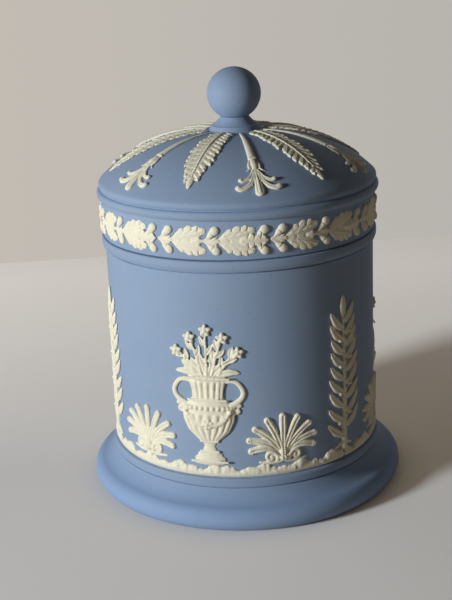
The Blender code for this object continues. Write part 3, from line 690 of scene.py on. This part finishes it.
def urn_outline(height):
    """Half width of the urn at a height: plinth, stem, body, shoulder, neck and lip."""
    steps = ((0.0, 5.6), (2.3, 5.6), (2.5, 4.7), (3.6, 4.4), (4.6, 2.7), (6.2, 1.9), (7.4, 2.5),
             (8.2, 2.6), (9.2, 4.0), (12.0, 7.0), (15.5, 8.6), (18.4, 8.9), (20.4, 8.3), (22.2, 6.6),
             (23.4, 5.4), (26.0, 4.7), (28.0, 5.2), (29.2, 6.6), (30.0, 7.0), (URN_HEIGHT, 6.6))
    for (low, narrow), (high, wide) in zip(steps, steps[1:]):
        if height <= high:
            return narrow + (wide - narrow) * (height - low) / (high - low)
    return steps[-1][1]


def rosette(relief, at, size, petals, lift):
    """A small open flower with a raised eye."""
    for petal in range(petals):
        angle = 2 * math.pi * (petal + 0.25) / petals
        out = Vector(at) + Vector((math.cos(angle), math.sin(angle))) * size * 0.62
        relief.lump(out, (size * 0.48, size * 0.36, 0.75), math.degrees(angle), lift)
    relief.lump(at, (size * 0.3, size * 0.3, 0.7), 0, lift + 0.45)


def veined_leaf(relief, path, half_width, lift, steps=26):
    """A pointed leaf along a path, with its rib pressed in."""
    width = swell(0.3, half_width * 0.85, half_width, half_width * 0.7, 0.2)
    relief.roll(path, width, steps, 0.42, lift)
    relief.press(path, 0.26, 0.38)


def urn_vessel(relief):
    """The urn without its handles: stacked rings, mouldings, flutes, beads and a reeded neck."""
    for ring in range(URN_RINGS + 1):
        height = URN_HEIGHT * ring / URN_RINGS
        wide = urn_outline(height)
        relief.lump((0, height), (wide, 0.32, wide * URN_DEPTH + 0.25))
    for height, wide in ((1.0, 5.9), (4.4, 3.0), (8.0, 2.8), (22.6, 6.2), (30.1, 7.2)):
        moulding = straight((-wide, height), (wide, height))
        relief.roll(moulding, swell(0.5, 0.5), 40, 0.6, wide * URN_DEPTH + 0.15)
    for flute in range(-4, 5):
        angle = math.radians(flute * 18.5)
        for step in range(26):
            height = 9.0 + 8.2 * step / 25
            wide = urn_outline(height)
            size = (0.3 + 0.075 * wide * math.cos(angle), 0.6, 0.55)
            lift = wide * URN_DEPTH * math.cos(angle) + 0.15
            relief.lump((wide * 0.97 * math.sin(angle), height), size, 0, lift)
    for bead in range(-6, 7):
        angle = math.radians(bead * 12.5)
        relief.lump((8.55 * math.sin(angle), 19.9), (0.72, 0.72, 0.72), 0, 2.0 * math.cos(angle) + 0.2)
    for reed in range(-3, 4):
        angle = math.radians(reed * 22)
        upright = straight((5.0 * math.sin(angle), 23.6), (5.6 * math.sin(angle), 28.4))
        relief.roll(upright, swell(0.6, 0.5, 0.75), 16, 0.8, 1.2 * math.cos(angle) + 0.2)


def urn_handle(relief, side):
    """One scrolled handle, and the half of the swag on its side."""
    arm = bow((side * 7.6, 20.6), (side * 13.6, 23.5), (side * 10.6, 27.4))
    relief.roll(arm, swell(1.1, 0.9, 0.85), 34, 0.8, 0.3)
    shoulder = bow((side * 10.6, 27.4), (side * 9.2, 29.6), (side * 6.4, 28.8))
    relief.roll(shoulder, swell(0.85, 0.8, 0.7), 22, 0.8, 0.3)
    start, turn = (60, 400) if side > 0 else (120, -400)
    scroll = spiral((side * 9.4, 19.0), 1.9, 0.2, start, turn)
    relief.roll(scroll, swell(0.75, 0.6, 0.55), 44, 0.9, 0.3)
    swag = bow((side * 7.2, 18.6), (side * 4.0, 13.0), (0, 14.6))
    drops = 8
    for drop in range(drops + 1):
        along = drop / drops
        size = 0.75 + 0.35 * math.sin(math.pi * along)
        relief.lump(swag(along), (size, size * 0.85, 0.8), 30 * side, 1.7 + 0.4 * along)


def urn_spray(relief):
    """The five flowers and the leaves that stand in the urn."""
    flowers = ((0, 48.0, 0.0), (-5.4, 45.4, -1.5), (5.4, 45.4, 1.5), (-10.2, 40.6, -3.4), (10.2, 40.6, 3.4))
    for across, top, root in flowers:
        stem = bow((root, 29.6), (root * 1.2 + across * 0.15, 36.0), (across, top - 1.6))
        relief.roll(stem, swell(0.55, 0.45, 0.4), 40, 1.0, 0.5)
        rosette(relief, (across, top - 1.9), 2.0, 5, 0.7)
        for along, reach in ((0.34, 1.0), (0.56, -1.0), (0.72, 1.0)):
            at = stem(along)
            heading = (stem(along + 0.03) - stem(along - 0.03)).normalized()
            away = Vector((-heading.y, heading.x)) * reach
            leaf = bow(at, at + away * 1.3 + heading * 1.0, at + away * 2.0 + heading * 3.4)
            veined_leaf(relief, leaf, 0.95, 0.45, 18)
    for side in (-1, 1):
        outer = bow((side * 3.0, 30.4), (side * 7.5, 33.0), (side * 11.0, 31.4))
        veined_leaf(relief, outer, 1.3, 0.4)
        middle = bow((side * 1.6, 30.4), (side * 4.5, 34.8), (side * 8.4, 36.0))
        veined_leaf(relief, middle, 1.3, 0.4)
        inner = bow((side * 0.8, 30.4), (side * 2.6, 36.0), (side * 2.4, 40.0))
        veined_leaf(relief, inner, 1.2, 0.4)


def urn():
    """A fluted urn with scrolled handles, beads and a swag, and a spray of leaves and flowers."""
    relief = Relief()
    urn_vessel(relief)
    for side in (-1, 1):
        urn_handle(relief, side)
    rosette(relief, (0, 14.6), 1.9, 6, 2.3)
    urn_spray(relief)
    return relief.fused(WALL_CLAY)


def laurel():
    """An upright laurel branch with ribbed leaves in pairs and berries between them, on spread roots."""
    relief = Relief()
    draw = random.Random(31)
    height, pairs = 60.4, 9
    trunk = bow((0.0, -0.6), (1.6, height * 0.5), (0.0, height - 8.0))
    relief.roll(trunk, swell(1.5, 1.1, 0.9, 0.7, 0.5), 170, 0.8, 0.15)
    for side in (-1, 1):
        spread = bow((0, 2.2), (side * 1.0, 0.6), (side * 4.4, -0.4))
        relief.roll(spread, swell(1.0, 0.9, 0.6), 20, 0.7, 0.0)
    for pair in range(pairs):
        share = pair / (pairs - 1)
        for side in (-1, 1):
            root = trunk(0.1 + 0.8 * share + 0.028 * side)
            reach = (9.4 - 2.6 * share) * draw.uniform(0.94, 1.04)
            rise = 7.6 + draw.uniform(-0.7, 0.7)
            tip = root + Vector((side * reach, rise))
            leaf = bow(root, root + Vector((side * reach * 0.6, rise * 0.2)), tip)
            veined_leaf(relief, leaf, 1.75, 0.35, 30)
            if pair % 2 == 0 and pair < pairs - 1:
                berry = root + Vector((side * 2.8, 5.6))
                stalk = straight(root + Vector((0, 1.4)), berry)
                relief.roll(stalk, swell(0.32, 0.28), 12, 1.0, 0.4)
                relief.lump(berry, (0.95, 0.95, 0.95), 0, 0.6)
    top = trunk(1.0)
    veined_leaf(relief, straight(top - Vector((0, 1.5)), top + Vector((0, 8.0))), 1.7, 0.45)
    return relief.fused(WALL_CLAY)


def palmette():
    """A low fan of grooved, round-ended lobes over two scrolls."""
    relief = Relief()
    for lobe in range(-4, 5):
        lean = math.radians(lobe * 17.5)
        reach = 17.0 * (1 - 0.022 * lobe * lobe)
        end = Vector((math.sin(lean) * reach * 1.02, 1.6 + math.cos(lean) * (reach - 2.8)))
        middle = Vector((math.sin(lean * 0.7) * reach * 0.45, 1.8 + reach * 0.42))
        path = bow((math.sin(lean) * 1.2, 2.4), middle, end)
        relief.roll(path, swell(0.5, 0.72, 1.0, 1.3, 1.25), 44, 0.85, 0.1)
        relief.press(path, 0.34, 0.55)
        relief.lump(end, (1.25, 1.25, 1.1), 0, 0.3)
    relief.lump((0, 2.6), (1.7, 2.4, 1.6), 0, 0.3)
    relief.press(straight((0, 0.8), (0, 4.6)), 0.3, 0.4)
    for side in (-1, 1):
        start, turn = (200, -430) if side > 0 else (-20, 430)
        scroll = spiral((side * 4.2, 1.9), 2.3, 0.25, start, turn)
        relief.roll(scroll, swell(0.8, 0.65, 0.6), 54, 0.95, 0.2)
        sill = bow((side * 0.6, 0.4), (side * 3.0, -0.5), (side * 7.8, 0.3))
        relief.roll(sill, swell(0.8, 0.7, 0.5), 24, 0.8, 0.0)
    return relief.fused(WALL_CLAY)


class Value:
    """A socket of a material, on which arithmetic adds Math nodes."""

    def __init__(self, paint, socket):
        self.paint = paint
        self.socket = socket

    def math(self, operation, *values):
        """The outcome of a Math node."""
        return self.paint.node("ShaderNodeMath", {"operation": operation}, dict(enumerate(values)))

    def __add__(self, other):
        return self.math("ADD", self, other)

    def __sub__(self, other):
        return self.math("SUBTRACT", self, other)

    def __rsub__(self, other):
        return self.math("SUBTRACT", other, self)

    def __mul__(self, other):
        return self.math("MULTIPLY", self, other)

    def __pow__(self, other):
        return self.math("POWER", self, other)

    __radd__ = __add__
    __rmul__ = __mul__


class Paint:
    """The nodes of one material or world."""

    def __init__(self, owner):
        owner.use_nodes = True
        self.tree = owner.node_tree

    def node(self, kind, settings, inputs, out=0):
        """Adds a node, sets it, fills or links its sockets, and gives one of its outputs."""
        made = self.tree.nodes.new(kind)
        for name, value in settings.items():
            setattr(made, name, value)
        for name, value in inputs.items():
            self.fill(made.inputs[name], value)
        return Value(self, made.outputs[out])

    def fill(self, socket, value):
        """Links a value to a socket, or sets the socket's own number or colour."""
        if isinstance(value, Value):
            self.tree.links.new(value.socket, socket)
        elif isinstance(value, tuple) and len(value) == 3 and socket.type == "RGBA":
            socket.default_value = (*value, 1.0)
        else:
            socket.default_value = value

    def noise(self, place, scale, detail):
        """Noise from 0 to 1 about a place, with a grain of one metre divided by scale."""
        return self.node("ShaderNodeTexNoise", {}, {"Vector": place, "Scale": scale, "Detail": detail})

    def ramp(self, value, low, high):
        """How far a value has gone from low to high, from 0 to 1."""
        reach = {"Value": value, "From Min": low, "From Max": high, "To Min": 0.0, "To Max": 1.0}
        return self.node("ShaderNodeMapRange", {"clamp": True}, reach)

    def mix(self, share, first, second):
        """A colour between two."""
        return self.node("ShaderNodeMix", {"data_type": "RGBA"}, {0: share, 6: first, 7: second}, 2)

    def split(self, place):
        """The three numbers of a place."""
        parts = self.node("ShaderNodeSeparateXYZ", {}, {0: place})
        return [Value(self, socket) for socket in parts.socket.node.outputs]

    def bump(self, height, strength, distance):
        """A normal that follows a height."""
        rise = {"Height": height, "Strength": strength, "Distance": distance}
        return self.node("ShaderNodeBump", {}, rise)

    def seen(self):
        """1 for what the camera sees, straight or in gloss or glass, and 0 for light on the object."""
        kinds = ("Camera", "Glossy", "Transmission")
        rays = [self.node("ShaderNodeLightPath", {}, {}, f"Is {kind} Ray") for kind in kinds]
        return rays[0].math("MAXIMUM", rays[0], rays[1].math("MAXIMUM", rays[1], rays[2]))


def finish(name, plan):
    """A new material, whose plan gives what fills the Principled shader's sockets."""
    made = bpy.data.materials.new(name)
    paint = Paint(made)
    shader = paint.tree.nodes["Principled BSDF"]
    for socket, value in plan(paint).items():
        paint.fill(shader.inputs[socket], value)
    return made


def blue_stoneware(paint):
    """Matt blue body with a soft tone, faint turning lines, fine grain, dark flecks, and painted cool light
    that turns the base bluer.
    """
    place = paint.node("ShaderNodeTexCoord", {}, {}, "Object")
    x, y, z = paint.split(place)
    radius = (x * x + y * y) ** 0.5
    lines = (z - radius * TURNING_SLANT) * TURNING_LINES
    round_axis = {0: x * TURNING_ROUND, 1: y * TURNING_ROUND, 2: lines}
    turning = paint.noise(paint.node("ShaderNodeCombineXYZ", {}, round_axis), 1.0, 3.0)
    tone = paint.noise(place, BLUE_TONE, 3.0)
    grain = paint.noise(place, BLUE_GRAIN, 2.0)
    fleck = paint.ramp(paint.noise(place, FLECK_GRAIN, 1.0), 0.76, 0.80)
    colour = paint.mix(tone * 0.55 + turning * 0.3 + grain * 0.15, BLUE_DEEP, BLUE_PALE)
    # painted light: low on the base the colour turns bluer, standing in for cool light reflected from the
    # floor
    base = paint.ramp(z, PAINTED_BOUNCE_TO, PAINTED_BOUNCE_FROM)
    colour = paint.mix(base * PAINTED_BOUNCE_SHARE, colour, BLUE_PAINTED_BOUNCE)
    colour = paint.mix(fleck * 0.55, colour, BLUE_FLECK)
    return {"Base Color": colour, "Roughness": grain * 0.16 + 0.60, "Specular IOR Level": 0.28,
            "Normal": paint.bump(turning * 0.7 + grain * 0.5, 0.25, 0.00012)}


def cream_relief(paint):
    """Matt cream clay: softly mottled, with painted shade that makes it darker and warmer in its hollows,
    and a fine grain.
    """
    place = paint.node("ShaderNodeTexCoord", {}, {}, "Object")
    curve = paint.node("ShaderNodeNewGeometry", {}, {}, "Pointiness")
    tone = paint.noise(place, CREAM_TONE, 3.0)
    grain = paint.noise(place, CREAM_GRAIN, 2.0)
    colour = paint.mix(paint.ramp(tone * 0.4 + grain * 0.6, 0.35, 0.7), CREAM, CREAM_PALE)
    # painted shade: where the pointiness shows a hollow, the cream turns darker and warmer
    colour = paint.mix(paint.ramp(curve, 0.48, 0.38) * 0.9, colour, CREAM_PAINTED_SHADE)
    return {"Base Color": colour, "Roughness": grain * 0.14 + 0.56, "Specular IOR Level": 0.3,
            "Normal": paint.bump(grain, 0.18, 0.0001)}


def seal_rubber(paint):
    """Soft grey ring with a dusty bloom."""
    place = paint.node("ShaderNodeTexCoord", {}, {}, "Object")
    bloom = paint.noise(place, SEAL_BLOOM, 4.0)
    grain = paint.noise(place, SEAL_GRAIN, 2.0)
    colour = paint.mix(paint.ramp(bloom, 0.3, 0.7), SEAL_DARK, SEAL_GREY)
    return {"Base Color": colour, "Roughness": bloom * 0.2 + 0.5, "Normal": paint.bump(grain, 0.2, 0.0001)}


def floor_paper(paint):
    """Plain pale ground with painted light: paler far off, and it takes the lamp as if it leaned towards
    it.

    It sends little light back to the jar, and shows a faint painted glow of fill light that fades into a
    painted contact shadow where the jar stands close.
    """
    place = paint.node("ShaderNodeTexCoord", {}, {}, "Object")
    # painted light: the floor pales towards the back
    far = paint.ramp(paint.split(place)[1], FLOOR_PALE_FROM, FLOOR_PALE_TO)
    pale = paint.mix(far + paint.noise(place, 6.0, 2.0) * 0.08, FLOOR_NEAR, FLOOR_FAR)
    seen = paint.seen()
    lean = math.radians(FLOOR_LEAN)
    towards = key_direction(0.0) * math.sin(lean) + Vector((0, 0, math.cos(lean)))
    normal = paint.node("ShaderNodeCombineXYZ", {}, dict(enumerate(towards)))
    # painted shadow: ambient occlusion near the jar dims the painted glow into a contact shadow
    clear = paint.node("ShaderNodeAmbientOcclusion", {"samples": 8}, {"Distance": PAINTED_SHADE_REACH}, "AO")
    # painted light: the glow that stands in for fill light, paler far off
    glow = paint.mix(far, FLOOR_PAINTED_GLOW, FLOOR_PAINTED_GLOW_FAR)
    return {"Base Color": paint.mix(seen, FLOOR_DIM, pale), "Roughness": 0.9, "Specular IOR Level": 0.1,
            "Emission Color": paint.mix(seen * clear, (0.0, 0.0, 0.0), glow), "Emission Strength": 1.0,
            "Normal": normal}


FINISHES = {
    "jar_blue": finish("jar_stoneware", blue_stoneware),
    "lid_blue": finish("lid_stoneware", blue_stoneware),
    "knob_blue": finish("knob_stoneware", blue_stoneware),
    "wall_relief_cream": finish("wall_relief_clay", cream_relief),
    "lid_relief_cream": finish("lid_relief_clay", cream_relief),
    "seal_grey": finish("seal_rubber", seal_rubber),
}


def stand_for(node, body, slot, mesh, azimuth=0.0):
    """Adds a finished piece, turned about the jar's axis, that stands for a node of the frame."""
    own = mesh.copy()
    own.transform(Matrix.Rotation(math.radians(azimuth), 4, "Z"))
    own.materials.clear()
    own.materials.append(FINISHES[slot])
    piece = bpy.data.objects.new("look_" + node, own)
    bpy.context.scene.collection.objects.link(piece)
    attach(piece, body)
    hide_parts(node)


def build_turned():
    """The jar, the lid, the knob and the seal."""
    stand_for("jar_body", "jar", "jar_blue", turned(jar_profile(), SPIN_STEPS))
    stand_for("lid_shell", "lid", "lid_blue", turned(lid_profile(), SPIN_STEPS))
    stand_for("knob_ball", "lid", "knob_blue", turned(knob_profile(), KNOB_STEPS))
    stand_for("seal_ring", "seal", "seal_grey", turned(seal_profile(), SPIN_STEPS))


def build_lid_reliefs():
    """The leaves and flowers of the dome, and the garland of the band."""
    leaf = bent(dome_leaf(), onto_dome, low=LEAF_LOW)
    flower = bent(dome_flower(), onto_dome, low=FLOWER_LOW)
    for pair in range(DOME_PAIRS):
        azimuth = FLOWER_AZIMUTH + 360 / DOME_PAIRS * pair
        stand_for(f"dome_flower_{pair + 1}", "lid", "lid_relief_cream", flower, azimuth)
        stand_for(f"dome_leaf_{pair + 1}", "lid", "lid_relief_cream", leaf, azimuth + 180 / DOME_PAIRS)
    onto_band = onto_cylinder(LID_BAND_RADIUS, (LID_SEAT + LID_BAND_TOP) / 2)
    garland = bent(oak_garland(), onto_band, low=GARLAND_LOW)
    for length in range(GARLAND_LENGTHS):
        azimuth = GARLAND_AZIMUTH + 360 / GARLAND_LENGTHS * (length + 0.5)
        stand_for(f"oak_garland_{length + 1}", "lid", "lid_relief_cream", garland, azimuth)


def build_wall_reliefs():
    """The ground strip, urns, laurels and palmettes of the wall."""
    strip = bent(ground_strip(), onto_cylinder(WALL_RADIUS, STRIP_FOOT))
    onto_wall = onto_cylinder(WALL_RADIUS, MOTIF_FOOT)
    vase = bent(urn(), onto_wall, MOTIF_GROWN)
    branch = bent(laurel(), onto_wall)
    fan = bent(palmette(), onto_wall, MOTIF_GROWN)
    quarter = 90 / WALL_REPEATS
    for repeat in range(WALL_REPEATS):
        azimuth = WALL_AZIMUTH + 360 / WALL_REPEATS * repeat
        stand_for(f"ground_strip_{repeat + 1}", "jar", "wall_relief_cream", strip, azimuth)
        stand_for(f"urn_{repeat + 1}", "jar", "wall_relief_cream", vase, azimuth)
        stand_for(f"laurel_{repeat + 1}", "jar", "wall_relief_cream", branch, azimuth + 2 * quarter)
        stand_for(f"palmette_{2 * repeat + 1}", "jar", "wall_relief_cream", fan, azimuth + quarter)
        stand_for(f"palmette_{2 * repeat + 2}", "jar", "wall_relief_cream", fan, azimuth + 3 * quarter)


def key_direction(elevation):
    """The way from the jar to the key lamp, at an elevation in degrees."""
    azimuth, rise = math.radians(KEY_AZIMUTH), math.radians(elevation)
    level = math.cos(rise)
    return Vector((math.sin(azimuth) * level, -math.cos(azimuth) * level, math.sin(rise)))


def set_floor():
    """A plain pale floor that ends behind the jar."""
    work = bmesh.new()
    bmesh.ops.create_grid(work, x_segments=1, y_segments=1, size=FLOOR_REACH)
    for vert in work.verts:
        vert.co.y = FLOOR_BACK + vert.co.x * FLOOR_SLANT if vert.co.y > 0 else vert.co.y
    mesh = bpy.data.meshes.new("floor")
    work.to_mesh(mesh)
    work.free()
    mesh.materials.append(finish("floor_paper", floor_paper))
    floor = bpy.data.objects.new("floor", mesh)
    floor.location.z = -FLOOR_DROP
    bpy.context.scene.collection.objects.link(floor)


def set_light():
    """A small key lamp from the left, and a dim sky, with a little warm light from the right and behind."""
    lamp = bpy.data.lights.new("key", "AREA")
    lamp.shape = "DISK"
    lamp.size = KEY_SIZE
    lamp.energy = KEY_LEVEL * (math.pi * KEY_DISTANCE) ** 2
    lamp.color = KEY_COLOUR
    outward = key_direction(KEY_ELEVATION)
    key = bpy.data.objects.new("key", lamp)
    key.location = outward * KEY_DISTANCE + Vector((0, 0, KEY_AIM))
    key.rotation_euler = outward.to_track_quat("Z", "Y").to_euler()
    bpy.context.scene.collection.objects.link(key)

    world = bpy.data.worlds.new("studio")
    paint = Paint(world)
    bpy.context.scene.world = world
    background = paint.tree.nodes["Background"]
    x, y, z = paint.split(paint.node("ShaderNodeTexCoord", {}, {}, "Generated"))
    right, behind = [paint.ramp(part, 0.0, 1.0) for part in (x, y)]
    low = paint.ramp(z, SKY_RIGHT_TOP, 0.0)
    level = behind * behind * SKY_BACK + right * right * low * SKY_RIGHT + SKY_LEVEL
    parts = {part: level * share for part, share in enumerate(SKY_COLOUR)}
    sky = paint.node("ShaderNodeCombineColor", {}, parts)
    backdrop = paint.mix(paint.ramp(x, -BACKDROP_BLEND, BACKDROP_BLEND), BACKDROP_LEFT, BACKDROP_RIGHT)
    paint.fill(background.inputs["Color"], paint.mix(paint.seen(), sky, backdrop))
    background.inputs["Strength"].default_value = 1.0


def set_camera():
    """The photograph's camera."""
    rise, roll = math.radians(CAMERA_ELEVATION), math.radians(CAMERA_ROLL)
    height = CAMERA_TARGET.z + CAMERA_DISTANCE * math.sin(rise)
    place = Vector((0.0, -CAMERA_DISTANCE * math.cos(rise), height))
    ahead = (CAMERA_TARGET - place).normalized()
    level = ahead.cross(Vector((0, 0, 1))).normalized()
    upright = level.cross(ahead)
    across = level * math.cos(roll) + upright * math.sin(roll)
    up = upright * math.cos(roll) - level * math.sin(roll)
    turn = Matrix((across, up, -ahead)).transposed().to_4x4()
    lens = bpy.data.cameras.new("photo")
    lens.sensor_width = SENSOR
    lens.lens = FOCAL_PIXELS / IMAGE_HEIGHT * SENSOR
    lens.clip_start = CLIP_START
    camera = bpy.data.objects.new("photo", lens)
    camera.matrix_world = Matrix.Translation(place * MM) @ turn
    bpy.context.scene.collection.objects.link(camera)
    bpy.context.scene.camera = camera


set_camera()
set_floor()
set_light()
build_turned()
build_lid_reliefs()
build_wall_reliefs()
bpy.context.scene.view_settings.view_transform = "Standard"
